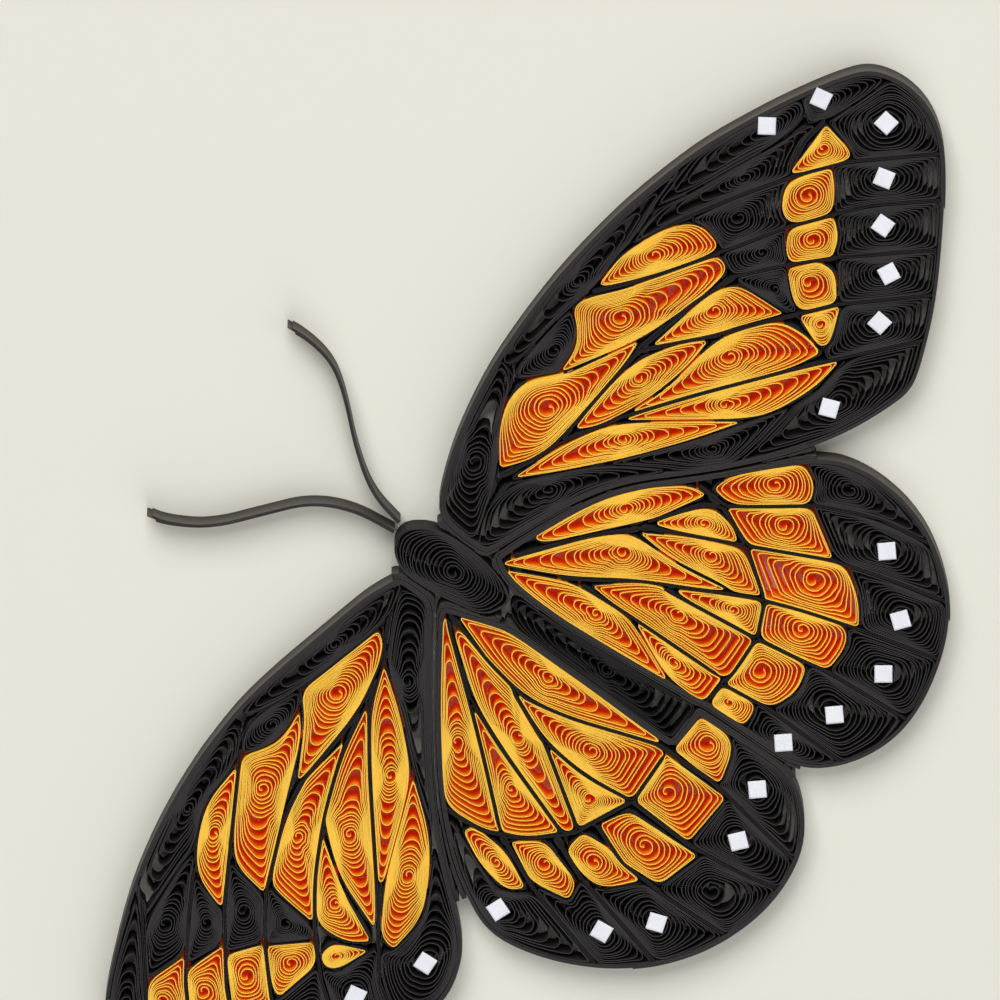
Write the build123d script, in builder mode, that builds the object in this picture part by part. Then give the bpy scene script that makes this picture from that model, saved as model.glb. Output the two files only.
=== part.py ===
from build123d import *
import os
from math import atan2, cos, degrees, hypot, radians, sin

# A quilled monarch butterfly, seen flat with its wings open. Every coil, strip
# and square is cut from paper ribbon that stands on its edge.

# Sizes of the paper work, in millimetres
PATTERN_STEP = 0.1
STRIP_HEIGHT = 3.2
EDGE_WIDTH = 0.5
VEIN_WIDTH = 0.3
ANTENNA_WIDTH = 0.36
GLUE_LINE = 0.06
SPOT_SIDE = 1.9
SPOT_THICKNESS = 0.2

# The pattern is read from a sheet that leans back by this many degrees, and
# the body lies across the sheet, so it is turned to point along Y
SHEET_LEAN = 15.0
BODY_TURN = -55.5
THORAX_X = 450
THORAX_Y = 565

# How the ribbon opens in each kind of coil: turns of the open gap, and where
# the gap lies between the eye (0) and the outer wall (1)
LARGE_TURNS = 1.3
BAND_TURNS = 1.0
DARK_TURNS = 0.8
EYE_REACH = 0.30
RIM_REACH = 0.80
GAP_SHARE = 0.15
SHORTEST_SIDE = 0.14
FLATTEST_CORNER = 0.05
SMALLEST_TURN = 9.0


def place(x, y):
    """A point of the pattern sheet as a point on the table."""
    across = (x - THORAX_X) * PATTERN_STEP
    up = (THORAX_Y - y) * PATTERN_STEP / cos(radians(SHEET_LEAN))
    turn = radians(BODY_TURN)
    return (across * cos(turn) - up * sin(turn), across * sin(turn) + up * cos(turn))


def between(start, end, share):
    """The point that lies the given share of the way from start to end."""
    return (start[0] + (end[0] - start[0]) * share, start[1] + (end[1] - start[1]) * share)


def ribbon(points, width):
    """The two long sides of a ribbon of the given width along a line of points."""
    left = []
    right = []
    last = len(points) - 1
    for index, (x, y) in enumerate(points):
        before = points[max(index - 1, 0)]
        after = points[min(index + 1, last)]
        first = (x - before[0], y - before[1])
        second = (after[0] - x, after[1] - y)
        if index == 0:
            first = second
        if index == last:
            second = first
        first_long = hypot(*first)
        second_long = hypot(*second)
        normal = (-first[1] / first_long - second[1] / second_long,
                  first[0] / first_long + second[0] / second_long)
        size = hypot(*normal)
        reach = width / size * (2 / size)
        left.append((x + normal[0] * reach / 2, y + normal[1] * reach / 2))
        right.append((x - normal[0] * reach / 2, y - normal[1] * reach / 2))
    return left + right[::-1]


def stands_out(before, point, after):
    """How far a point lies from the straight line that joins its neighbours."""
    along = (after[0] - before[0], after[1] - before[1])
    aside = (point[0] - before[0], point[1] - before[1])
    share = (along[0] * aside[0] + along[1] * aside[1]) / (along[0] ** 2 + along[1] ** 2)
    share = min(max(share, 0), 1)
    return hypot(aside[0] - along[0] * share, aside[1] - along[1] * share)


def corners_of(face):
    """The corners of a straight-sided face, without those that hardly show."""
    found = [side.position_at(0) for side in face.outer_wire().order_edges()]
    kept = []
    for spot in found:
        point = (spot.X, spot.Y)
        if not kept or hypot(point[0] - kept[-1][0], point[1] - kept[-1][1]) > SHORTEST_SIDE:
            kept.append(point)
    if hypot(kept[0][0] - kept[-1][0], kept[0][1] - kept[-1][1]) <= SHORTEST_SIDE:
        kept.pop()
    shown = []
    dropped = False
    for index, point in enumerate(kept):
        before = kept[index - 1]
        after = kept[(index + 1) % len(kept)]
        dropped = not dropped and stands_out(before, point, after) < FLATTEST_CORNER
        if not dropped:
            shown.append(point)
    return shown


def turn_between(eye, first, second):
    """The angle at the eye from one corner to another, in degrees."""
    along = (first[0] - eye[0], first[1] - eye[1])
    aside = (second[0] - eye[0], second[1] - eye[1])
    cross = along[0] * aside[1] - along[1] * aside[0]
    level = along[0] * aside[0] + along[1] * aside[1]
    return degrees(atan2(cross, level))


def in_turn(eye, corners):
    """The corners as the ribbon meets them, without those that lead it back."""
    turns = [turn_between(eye, corners[index - 1], corners[index]) for index in range(len(corners))]
    sense = 1 if sum(turns) > 0 else -1
    kept = [corners[0]]
    for corner in corners[1:]:
        on = sense * turn_between(eye, kept[-1], corner)
        home = sense * turn_between(eye, corner, corners[0])
        if on > SMALLEST_TURN and abs(home) > SMALLEST_TURN:
            kept.append(corner)
    while sense * turn_between(eye, kept[-1], kept[0]) < SMALLEST_TURN:
        kept.pop()
    return kept


def open_gap(eye, corners, turns):
    """The gap that winds from the eye to just inside the outer wall."""
    count = len(corners)
    steps = round(turns * count)
    far = []
    near = []
    for step in range(steps + 1):
        reach = EYE_REACH + (RIM_REACH - EYE_REACH) * step / steps
        corner = corners[step % count]
        far.append(between(eye, corner, reach))
        if step >= count // 2:
            near.append(between(eye, corner, reach - GAP_SHARE))
    return far + near[::-1] + [eye]


def strips_sketch(strips, width, inside):
    """All the vein ribbons of one wing, kept inside its edge."""
    with BuildSketch() as drawn:
        for strip in strips:
            with BuildLine():
                Polyline(*ribbon([place(x, y) for x, y in strip], width), close=True)
            make_face()
        add(inside, mode=Mode.INTERSECT)
    return drawn.sketch


def coil(cell, turns, inside, veins):
    """One coil that fills its cell: the outer wall, the turns and the open eye."""
    eye, outline = cell
    with BuildSketch() as trimmed:
        with BuildLine():
            Polyline(*[place(x, y) for x, y in outline], close=True)
        make_face()
        if inside is not None:
            add(inside, mode=Mode.INTERSECT)
            add(veins, mode=Mode.SUBTRACT)
    whole = trimmed.sketch.faces().sort_by(SortBy.AREA)[-1]
    corners = corners_of(whole)
    with BuildPart() as made:
        with BuildSketch():
            with BuildLine():
                Polyline(*corners, close=True)
            make_face()
            with BuildLine():
                Polyline(*open_gap(place(*eye), in_turn(place(*eye), corners), turns), close=True)
            make_face(mode=Mode.SUBTRACT)
        extrude(amount=STRIP_HEIGHT)
    return made.part


def group(coils):
    """Several separate coils of one kind, kept together."""
    with BuildPart() as together:
        for one in coils:
            add(one)
    return together


def save(name, made):
    """Write one named piece."""
    made.part.label = name
    export_step(made.part, f"parts/{name}.step")


os.makedirs("parts", exist_ok=True)

# The pattern, in steps of the sheet: for each wing its edge, the veins that
# run between the coils, and each coil's eye and outline
RIGHT_FORE = {
    "edge": [(437, 508), (443, 478), (455, 440), (473, 400), (495, 360), (523, 320), (554, 280),
             (590, 241), (625, 207), (660, 178), (700, 148), (740, 125), (780, 104), (820, 86),
             (850, 75), (868, 72), (887, 76), (908, 87), (926, 105), (938, 128), (944, 155), (945, 190),
             (943, 230), (939, 280), (932, 325), (918, 378), (908, 394), (893, 406), (865, 424),
             (835, 439), (800, 452), (760, 463), (720, 471), (680, 477), (640, 482), (608, 490),
             (575, 504), (545, 520), (515, 538), (494, 551), (485, 554), (469, 544), (455, 533),
             (443, 521)],
    "strips": [
        [(592, 292), (655, 277), (718, 254), (784, 229), (832, 216), (870, 206), (947, 201)],
        [(500, 476), (540, 456), (558, 443), (641, 348), (690, 306), (735, 277), (785, 266), (838, 258),
         (945, 250)],
        [(642, 350), (706, 338), (782, 318), (838, 305), (941, 295)],
        [(559, 443), (620, 418), (700, 394), (800, 368), (850, 357), (931, 339)],
        [(645, 238), (668, 226), (740, 196), (800, 175), (848, 163), (949, 154)],
        [(790, 170), (803, 143), (824, 121)],
    ],
    "orange": {
        "a": ((654, 257),
            [(599, 285), (620, 257), (654, 233), (688, 224), (704, 229), (718, 246), (708, 257),
             (655, 278), (612, 289)]),
        "b": ((621, 318),
            [(573, 309), (584, 299), (625, 290), (700, 261), (720, 258), (727, 271), (702, 297),
             (639, 340), (561, 372), (576, 350), (578, 330)]),
        "c": ((548, 409),
            [(500, 468), (499, 432), (507, 401), (527, 380), (570, 373), (638, 342), (622, 370),
             (579, 423), (538, 458)]),
        "d": ((714, 312),
            [(644, 353), (682, 319), (712, 291), (739, 286), (783, 314), (735, 327), (690, 343)]),
        "e": ((640, 378),
            [(575, 429), (604, 390), (639, 360), (682, 343), (708, 341), (686, 368), (648, 399),
             (600, 426)]),
        "f": ((729, 357),
            [(629, 413), (667, 390), (704, 351), (739, 327), (779, 321), (806, 336), (820, 353),
             (787, 371), (700, 392)]),
        "g": ((725, 405),
            [(624, 420), (680, 399), (760, 379), (841, 359), (816, 387), (772, 413), (742, 419),
             (680, 420)]),
        "h": ((624, 439),
            [(514, 478), (558, 448), (609, 425), (660, 422), (742, 422), (690, 440), (630, 457),
             (560, 471)]),
    },
    "band": {
        "1": ((821, 149),
            [(825, 126), (850, 153), (848, 164), (797, 176), (790, 173), (803, 155)]),
        "2": ((807, 197),
            [(830, 166), (834, 190), (831, 216), (795, 227), (783, 217), (781, 205), (785, 187),
             (805, 173)]),
        "3": ((812, 241),
            [(833, 218), (838, 238), (832, 256), (823, 261), (790, 266), (785, 250), (788, 230)]),
        "4": ((809, 283),
            [(787, 270), (818, 262), (835, 273), (836, 303), (801, 312), (792, 300)]),
        "5": ((821, 323),
            [(799, 317), (839, 307), (831, 340), (823, 348), (814, 342)]),
    },
    "black": {
        "root": ((474, 463),
               [(500, 358), (512, 376), (506, 398), (497, 432), (498, 470), (477, 536), (462, 540),
                (444, 528), (438, 505), (449, 462), (465, 420)]),
        "keel": ((549, 487),
               [(478, 545), (485, 511), (511, 485), (560, 473), (607, 465), (668, 470), (606, 488),
                (543, 519), (503, 545)]),
        "trail": ((712, 449),
                [(608, 464), (691, 442), (742, 425), (787, 410), (754, 446), (728, 468), (690, 474),
                 (670, 468)]),
        "edge_1": ((577, 280),
                 [(508, 366), (500, 358), (527, 318), (557, 279), (593, 241), (630, 206), (684, 165),
                  (653, 207), (634, 238), (617, 255), (596, 286), (572, 305), (557, 319), (524, 355)]),
        "edge_2": ((764, 128),
                 [(657, 206), (687, 166), (703, 149), (742, 126), (797, 100), (804, 114), (781, 141),
                  (722, 173), (687, 194)]),
        "edge_3": ((823, 102),
                 [(800, 98), (848, 78), (868, 74), (884, 79), (866, 97), (826, 120), (808, 124)]),
        "vane": ((740, 178),
               [(633, 243), (658, 211), (687, 197), (723, 176), (781, 144), (803, 129), (818, 127),
                (803, 146), (788, 177), (740, 199), (668, 229)]),
        "cell_1": ((738, 218),
                 [(692, 221), (740, 195), (795, 177), (783, 187), (779, 206), (781, 219), (789, 228),
                  (722, 253), (720, 246), (706, 227)]),
        "cell_2": ((762, 253),
                 [(722, 255), (785, 230), (783, 250), (788, 265), (736, 278), (729, 269)]),
        "cell_3": ((774, 290),
                 [(735, 277), (785, 267), (785, 271), (790, 300), (797, 313), (786, 312), (741, 284)]),
        "cell_4": ((554, 351),
                 [(516, 377), (527, 356), (557, 323), (571, 312), (576, 330), (574, 349), (559, 371),
                  (555, 373), (524, 378)]),
        "rim_1": ((885, 124),
                [(829, 124), (862, 101), (890, 82), (922, 106), (939, 130), (941, 156), (852, 161),
                 (852, 152)]),
        "rim_2": ((884, 180),
                [(832, 166), (848, 163), (942, 155), (941, 203), (870, 206), (834, 215), (836, 190)]),
        "rim_3": ((884, 226),
                [(836, 216), (870, 206), (940, 203), (937, 251), (838, 259), (835, 257), (841, 238)]),
        "rim_4": ((880, 274),
                [(838, 259), (936, 251), (931, 297), (840, 305), (838, 290)]),
        "rim_5": ((874, 325),
                [(842, 306), (932, 297), (922, 343), (826, 362), (826, 350), (834, 341)]),
        "rim_6": ((838, 402),
                [(733, 466), (757, 447), (790, 412), (820, 390), (847, 360), (920, 341), (905, 392),
                 (862, 421), (798, 452)]),
    },
    "spots": [(766, 127, 2), (820, 100, 25), (885, 124, 43), (883, 179, 22), (882, 226, 35),
              (888, 274, -28), (879, 323, 42), (829, 408, 15)],
}
RIGHT_HIND = {
    "edge": [(494, 558), (519, 540), (548, 523), (577, 506), (609, 492), (642, 484), (682, 479),
             (722, 473), (762, 465), (800, 459), (822, 459), (845, 462), (875, 476), (905, 500),
             (928, 530), (943, 565), (952, 605), (949, 638), (940, 670), (925, 704), (905, 732),
             (880, 752), (850, 766), (820, 771), (797, 768), (775, 756), (740, 731), (707, 709),
             (700, 706), (640, 672), (560, 624), (515, 590), (502, 575)],
    "strips": [
        [(514, 557), (590, 536), (650, 528), (740, 545), (830, 560), (890, 580), (956, 606)],
        [(648, 522), (700, 506), (760, 507), (820, 506), (880, 519), (941, 550)],
        [(699, 487), (722, 505), (746, 544), (764, 598)],
        [(560, 578), (640, 581), (752, 598), (800, 610), (860, 630), (950, 664)],
        [(582, 586), (630, 616), (720, 677)],
        [(664, 589), (748, 635), (800, 660), (828, 672), (910, 722)],
        [(765, 601), (758, 637), (735, 672), (703, 706)],
        [(722, 684), (770, 710), (850, 769)],
    ],
    "orange": {
        "a": ((626, 509),
            [(532, 537), (579, 504), (630, 488), (691, 486), (706, 495), (656, 518), (600, 531),
             (544, 543)]),
        "b": ((705, 524),
            [(654, 524), (689, 508), (716, 510), (733, 527), (738, 543), (695, 537)]),
        "c": ((624, 552),
            [(500, 564), (560, 543), (609, 533), (635, 536), (680, 567), (727, 590), (700, 590),
             (640, 581), (570, 577)]),
        "d": ((711, 556),
            [(640, 533), (700, 538), (744, 550), (762, 596), (733, 592), (725, 585), (670, 558)]),
        "e": ((597, 614),
            [(496, 569), (560, 580), (583, 588), (622, 608), (643, 640), (668, 681), (629, 664),
             (540, 606)]),
        "f": ((676, 657),
            [(633, 617), (700, 661), (722, 679), (702, 705), (664, 673)]),
        "g": ((678, 615),
            [(592, 586), (645, 582), (664, 588), (750, 636), (758, 640), (733, 675), (719, 677),
             (630, 617)]),
        "h": ((733, 605),
            [(676, 590), (752, 598), (763, 600), (757, 637), (748, 634), (690, 603)]),
    },
    "band": {
        "1": ((775, 485),
            [(714, 489), (739, 470), (801, 461), (815, 484), (809, 507), (733, 507)]),
        "2": ((785, 526),
            [(727, 507), (811, 507), (833, 559), (780, 552), (746, 543)]),
        "3": ((815, 581),
            [(747, 545), (830, 560), (845, 564), (859, 600), (859, 630), (800, 611), (764, 600)]),
        "4": ((803, 630),
            [(766, 601), (800, 611), (846, 626), (847, 646), (828, 671), (800, 660), (756, 638)]),
        "5": ((762, 671),
            [(757, 638), (807, 667), (798, 692), (770, 709), (724, 684), (735, 672)]),
        "6": ((728, 705),
            [(722, 686), (754, 703), (754, 712), (746, 724), (724, 724), (710, 706)]),
    },
    "black": {
        "rim_1": ((850, 490),
                [(804, 461), (845, 458), (905, 500), (935, 548), (880, 520), (820, 507), (812, 507),
                 (818, 484)]),
        "rim_2": ((885, 551),
                [(814, 507), (822, 507), (880, 520), (933, 545), (952, 602), (945, 601), (890, 579),
                 (836, 560)]),
        "rim_3": ((900, 618),
                [(848, 565), (890, 580), (950, 604), (941, 660), (862, 630), (862, 600)]),
        "rim_4": ((882, 674),
                [(849, 627), (862, 631), (942, 659), (920, 706), (900, 718), (829, 673), (850, 647)]),
        "rim_5": ((833, 712),
                [(811, 666), (828, 672), (903, 717), (880, 748), (842, 764), (774, 711), (800, 694)]),
        "rim_6": ((785, 742),
                [(749, 728), (757, 713), (757, 704), (770, 710), (842, 763), (820, 772), (797, 768),
                 (740, 731)]),
    },
    "spots": [(887, 551, -5), (901, 620, -16), (884, 674, 0), (835, 715, -5), (784, 743, -4)],
}
LEFT_HIND = {
    "edge": [(438, 613), (436, 660), (435, 720), (437, 780), (442, 820), (449, 852), (457, 878),
             (468, 903), (481, 926), (500, 943), (530, 957), (565, 967), (610, 973), (655, 970),
             (700, 957), (735, 938), (765, 914), (788, 886), (803, 855), (807, 825), (802, 795),
             (790, 772), (770, 756), (740, 736), (704, 713), (699, 710), (681, 733), (673, 743),
             (640, 720), (600, 690), (514, 629), (493, 621), (470, 615), (444, 606)],
    "strips": [
        [(444, 607), (490, 664), (525, 699), (570, 719), (655, 744), (712, 781), (805, 872)],
        [(512, 690), (545, 744), (578, 831)],
        [(540, 738), (585, 777), (632, 802)],
        [(470, 700), (500, 748), (562, 834)],
        [(447, 620), (468, 697), (484, 760), (500, 832)],
        [(441, 806), (480, 831), (525, 840), (575, 833), (634, 801), (665, 756)],
        [(634, 803), (690, 846), (735, 872), (794, 897)],
        [(598, 826), (622, 864), (665, 898), (740, 946)],
        [(557, 840), (582, 880), (665, 975)],
        [(503, 838), (538, 897), (604, 976)],
    ],
    "orange": {
        "a": ((549, 678),
            [(455, 612), (515, 628), (600, 691), (668, 741), (655, 744), (570, 719), (525, 698),
             (490, 662)]),
        "b": ((591, 752),
            [(511, 690), (570, 720), (660, 746), (665, 755), (634, 802), (585, 777), (541, 739)]),
        "c": ((590, 800),
            [(540, 737), (585, 776), (633, 801), (577, 832), (545, 745)]),
        "d": ((518, 738),
            [(454, 633), (462, 630), (490, 663), (512, 690), (545, 744), (579, 822), (571, 833),
             (564, 834), (503, 748), (475, 702)]),
        "e": ((512, 790),
            [(470, 701), (500, 748), (561, 834), (525, 840), (501, 836), (484, 760)]),
        "f": ((457, 743),
            [(436, 615), (447, 619), (468, 697), (484, 760), (500, 833), (481, 831), (442, 806),
             (438, 700)]),
    },
    "band": {
        "1": ((709, 745),
            [(699, 714), (727, 730), (733, 752), (721, 783), (712, 781), (674, 750)]),
        "2": ((668, 794),
            [(666, 755), (726, 799), (689, 843), (634, 803)]),
        "3": ((645, 847),
            [(599, 826), (629, 812), (698, 857), (660, 886), (621, 862)]),
        "4": ((594, 864),
            [(566, 850), (583, 834), (613, 851), (640, 882), (603, 890), (572, 869)]),
        "5": ((545, 865),
            [(511, 843), (545, 842), (577, 884), (569, 901), (531, 883)]),
        "6": ((494, 865),
            [(463, 832), (474, 827), (507, 854), (525, 889), (507, 892), (480, 866)]),
    },
    "black": {
        "rim_1": ((757, 790),
                [(724, 784), (736, 752), (731, 733), (745, 737), (792, 772), (807, 825), (798, 865),
                 (716, 785)]),
        "rim_2": ((738, 842),
                [(692, 845), (729, 800), (798, 865), (788, 888), (776, 890), (735, 872)]),
        "rim_3": ((712, 893),
                [(663, 888), (701, 860), (706, 855), (735, 872), (780, 892), (765, 916), (733, 940),
                 (665, 898)]),
        "rim_4": ((655, 925),
                [(588, 887), (604, 893), (642, 885), (665, 898), (733, 940), (700, 960), (660, 966)]),
        "rim_5": ((602, 935),
                [(533, 888), (569, 904), (580, 884), (585, 884), (660, 965), (640, 975), (598, 970)]),
        "rim_6": ((500, 911),
                [(441, 812), (453, 826), (495, 891), (520, 896), (538, 897), (598, 970), (555, 972),
                 (500, 946), (458, 900), (442, 845)]),
    },
    "spots": [(758, 790, -5), (739, 842, -14), (657, 924, 17), (602, 933, 30), (498, 911, -33)],
}
LEFT_FORE = {
    "edge": [(399, 577), (375, 590), (358, 602), (320, 634), (280, 667), (240, 704), (207, 745),
             (183, 780), (160, 820), (141, 860), (126, 900), (113, 950), (104, 990), (101, 1020),
             (104, 1048), (124, 1086), (165, 1112), (205, 1118), (245, 1110), (305, 1085), (368, 1052),
             (418, 1028), (450, 998), (463, 960), (462, 935), (455, 905), (446, 870), (437, 825),
             (432, 770), (431, 700), (432, 640), (433, 610), (428, 597), (414, 587)],
    "strips": [
        [(391, 612), (381, 665), (360, 711), (303, 781), (283, 820), (265, 895), (264, 946),
         (270, 1000), (309, 1090)],
        [(366, 704), (341, 755), (324, 815), (314, 880), (314, 940), (321, 985), (350, 1068)],
        [(382, 664), (369, 710), (369, 770), (377, 900), (379, 985), (403, 1043)],
        [(240, 750), (231, 835), (223, 910), (225, 990), (252, 1115)],
        [(193, 870), (187, 925), (184, 985), (192, 1055), (210, 1124)],
        [(140, 905), (143, 965), (149, 1108)],
    ],
    "orange": {
        "a": ((337, 693),
            [(301, 692), (344, 658), (378, 631), (384, 645), (369, 695), (323, 759), (297, 782),
             (305, 720)]),
        "b": ((262, 790),
            [(241, 757), (272, 747), (287, 733), (299, 712), (301, 737), (284, 806), (264, 895),
             (236, 868), (230, 826)]),
        "c": ((213, 835),
            [(239, 764), (232, 835), (223, 909), (218, 907), (198, 880), (195, 850), (205, 805)]),
        "d": ((297, 838),
            [(345, 741), (324, 815), (314, 880), (312, 924), (276, 893), (266, 872), (283, 820),
             (300, 786)]),
        "e": ((350, 836),
            [(366, 706), (369, 770), (376, 880), (374, 930), (338, 876), (323, 818), (341, 756)]),
        "f": ((335, 906),
            [(322, 838), (342, 893), (370, 943), (345, 944), (314, 924), (314, 880)]),
        "g": ((391, 777),
            [(384, 667), (400, 715), (411, 775), (400, 822), (383, 884), (378, 885), (369, 770),
             (369, 712)]),
        "h": ((408, 878),
            [(413, 779), (428, 830), (430, 870), (422, 919), (393, 951), (380, 938), (385, 881)]),
    },
    "band": {
        "1": ((160, 1003),
            [(183, 959), (184, 1022), (160, 1032), (143, 1021), (144, 986)]),
        "2": ((202, 994),
            [(223, 947), (227, 1022), (192, 1029), (184, 1005), (185, 973)]),
        "3": ((246, 979),
            [(225, 957), (264, 946), (270, 1009), (233, 1023)]),
        "4": ((290, 966),
            [(264, 948), (314, 944), (318, 965), (278, 999), (269, 987)]),
        "5": ((334, 957),
            [(320, 956), (333, 945), (367, 953), (336, 972), (323, 968)]),
    },
    "black": {
        "root": ((408, 682),
               [(394, 611), (402, 592), (428, 596), (440, 612), (436, 780), (434, 838), (430, 826),
                (415, 776), (402, 713), (386, 664)]),
        "edge_1": ((333, 640),
                 [(243, 716), (262, 684), (320, 634), (375, 592), (402, 583), (391, 612), (376, 629),
                  (342, 656), (300, 689), (258, 711)]),
        "edge_2": ((186, 808),
                 [(232, 727), (240, 731), (238, 760), (202, 804), (192, 850), (178, 866), (143, 920),
                  (134, 890), (160, 815), (200, 750)]),
        "edge_3": ((122, 1018),
                 [(135, 901), (143, 965), (144, 1030), (141, 1040), (115, 1051), (104, 1045), (105, 990)]),
        "cell_1": ((275, 728),
                 [(242, 755), (243, 735), (259, 714), (298, 693), (298, 709), (285, 731), (271, 745)]),
        "cell_2": ((164, 926),
                 [(191, 858), (193, 872), (184, 957), (146, 982), (142, 930), (180, 869)]),
        "cell_3": ((206, 925),
                 [(194, 879), (216, 909), (224, 912), (224, 943), (186, 965), (189, 915)]),
        "cell_4": ((243, 913),
                 [(227, 856), (233, 870), (262, 898), (265, 942), (225, 953), (224, 910)]),
        "cell_5": ((285, 925),
                 [(266, 885), (273, 896), (310, 927), (313, 940), (265, 945)]),
        "rim_1": ((175, 1072),
                [(144, 1026), (160, 1035), (187, 1024), (208, 1111), (165, 1114), (150, 1092)]),
        "rim_2": ((223, 1068),
                [(186, 1031), (192, 1032), (228, 1025), (248, 1101), (208, 1112)]),
        "rim_3": ((268, 1050),
                [(230, 1027), (272, 1012), (304, 1079), (249, 1102)]),
        "rim_4": ((313, 1025),
                [(269, 1000), (278, 1003), (319, 969), (346, 1058), (304, 1078)]),
        "rim_5": ((355, 998),
                [(321, 973), (337, 976), (369, 955), (378, 950), (380, 985), (399, 1036), (373, 1050),
                 (347, 1058)]),
        "rim_6": ((425, 965),
                [(434, 858), (447, 890), (460, 945), (450, 990), (401, 1034), (380, 985), (380, 955),
                 (394, 954), (425, 921)]),
        "rim_7": ((132, 1063),
                [(110, 1055), (141, 1043), (147, 1096), (118, 1080)]),
    },
    "spots": [(425, 965, 33), (355, 998, 25), (313, 1025, 15), (270, 1048, -20), (222, 1070, 10),
              (174, 1073, 30), (131, 1066, 5), (122, 1018, -8)],
}
THORAX = ((454, 573),
          [(392, 547), (402, 529), (428, 527), (452, 536), (482, 558), (505, 584), (511, 603),
           (486, 617), (432, 593), (400, 571)])
ABDOMEN = ((610, 667),
           [(508, 609), (519, 598), (560, 626), (640, 674), (697, 708), (678, 732), (671, 739),
            (640, 717), (600, 687), (522, 632)])
ANTENNA_RIGHT = [(399, 523), (372, 494), (356, 450), (345, 396), (333, 364), (310, 341), (288, 328)]
ANTENNA_LEFT = [(394, 532), (354, 510), (310, 503), (265, 514), (211, 528), (167, 524), (147, 516)]


def build_wing(side, wing):
    """Make one wing: its edge, its veins, its coils and its white squares."""
    with BuildSketch() as whole:
        with BuildLine():
            Polyline(*[place(x, y) for x, y in wing["edge"]], close=True)
        make_face()
    with BuildSketch() as opening:
        add(whole.sketch)
        offset(amount=-EDGE_WIDTH, kind=Kind.INTERSECTION, mode=Mode.REPLACE)
    with BuildSketch() as inside:
        add(whole.sketch)
        offset(amount=-EDGE_WIDTH - GLUE_LINE, kind=Kind.INTERSECTION, mode=Mode.REPLACE)
    with BuildPart() as edge:
        with BuildSketch():
            add(whole.sketch)
            add(opening.sketch, mode=Mode.SUBTRACT)
        extrude(amount=STRIP_HEIGHT)
    save(f"{side}_edge", edge)
    with BuildPart() as veins:
        add(strips_sketch(wing["strips"], VEIN_WIDTH, inside.sketch))
        extrude(amount=STRIP_HEIGHT)
    save(f"{side}_veins", veins)
    room = strips_sketch(wing["strips"], VEIN_WIDTH + 2 * GLUE_LINE, whole.sketch)
    for letter, cell in wing["orange"].items():
        save(f"{side}_orange_coil_{letter}", group([coil(cell, LARGE_TURNS, inside.sketch, room)]))
    band = [coil(cell, BAND_TURNS, inside.sketch, room) for cell in wing["band"].values()]
    save(f"{side}_band_coils", group(band))
    rim = []
    dark = []
    for name, cell in wing["black"].items():
        made = coil(cell, DARK_TURNS, inside.sketch, room)
        (rim if name.startswith("rim") else dark).append(made)
    save(f"{side}_rim_coils", group(rim))
    if dark:
        save(f"{side}_dark_coils", group(dark))
    with BuildPart(Plane.XY.offset(STRIP_HEIGHT)) as spots:
        for x, y, angle in wing["spots"]:
            with BuildSketch(Plane.XY.offset(STRIP_HEIGHT)):
                with Locations(place(x, y)):
                    Rectangle(SPOT_SIDE, SPOT_SIDE, rotation=BODY_TURN - angle)
            extrude(amount=SPOT_THICKNESS)
    save(f"{side}_white_squares", spots)


# The four wings
build_wing("right_fore", RIGHT_FORE)
build_wing("right_hind", RIGHT_HIND)
build_wing("left_hind", LEFT_HIND)
build_wing("left_fore", LEFT_FORE)

# The body: a round coil for the thorax and a long one for the abdomen
save("thorax_coil", group([coil(THORAX, LARGE_TURNS, None, None)]))
save("abdomen_coil", group([coil(ABDOMEN, LARGE_TURNS, None, None)]))

# The antennae: strips glued face to face and curved away from the head
for name, line in (("antenna_right", ANTENNA_RIGHT), ("antenna_left", ANTENNA_LEFT)):
    with BuildPart() as antenna:
        with BuildSketch():
            with BuildLine():
                Polyline(*ribbon([place(x, y) for x, y in line], ANTENNA_WIDTH), close=True)
            make_face()
        extrude(amount=STRIP_HEIGHT)
    save(name, antenna)
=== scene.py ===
# %% [markdown]
# # A quilled paper butterfly
# A monarch butterfly made of paper ribbon. Every cell of its wings is one strip
# that was rolled up, let go until it opened, and pinched to the shape of its cell.
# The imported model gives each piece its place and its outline. This script winds
# the real turns of paper inside those outlines and gives the papers their finish.

# %% Load the frame
from math import atan2, cos, hypot, pi, radians, sin

import bmesh
import bpy
import numpy as np
from mathutils import Matrix, Vector


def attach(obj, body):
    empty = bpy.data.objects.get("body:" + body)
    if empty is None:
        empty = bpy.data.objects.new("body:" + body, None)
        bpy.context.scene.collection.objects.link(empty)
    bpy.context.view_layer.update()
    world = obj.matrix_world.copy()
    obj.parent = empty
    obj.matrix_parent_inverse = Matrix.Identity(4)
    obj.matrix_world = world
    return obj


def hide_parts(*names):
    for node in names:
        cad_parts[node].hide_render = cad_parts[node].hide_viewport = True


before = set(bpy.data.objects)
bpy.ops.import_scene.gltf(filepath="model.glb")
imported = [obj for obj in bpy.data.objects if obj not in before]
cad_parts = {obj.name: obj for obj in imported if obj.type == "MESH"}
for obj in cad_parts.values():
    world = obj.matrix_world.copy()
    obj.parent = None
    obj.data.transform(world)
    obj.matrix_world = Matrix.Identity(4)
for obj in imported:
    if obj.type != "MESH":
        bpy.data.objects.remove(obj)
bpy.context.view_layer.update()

# %% [markdown]
# ## The pattern sheet
# A quilled picture starts as a drawing on a sheet. This one is ruled in tenths of
# a millimetre. The sheet leans back towards its upper edge and the butterfly's
# body lies across it, so one function takes a point of the sheet to the table.
# The same lean and turn place the camera at the end.

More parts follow.
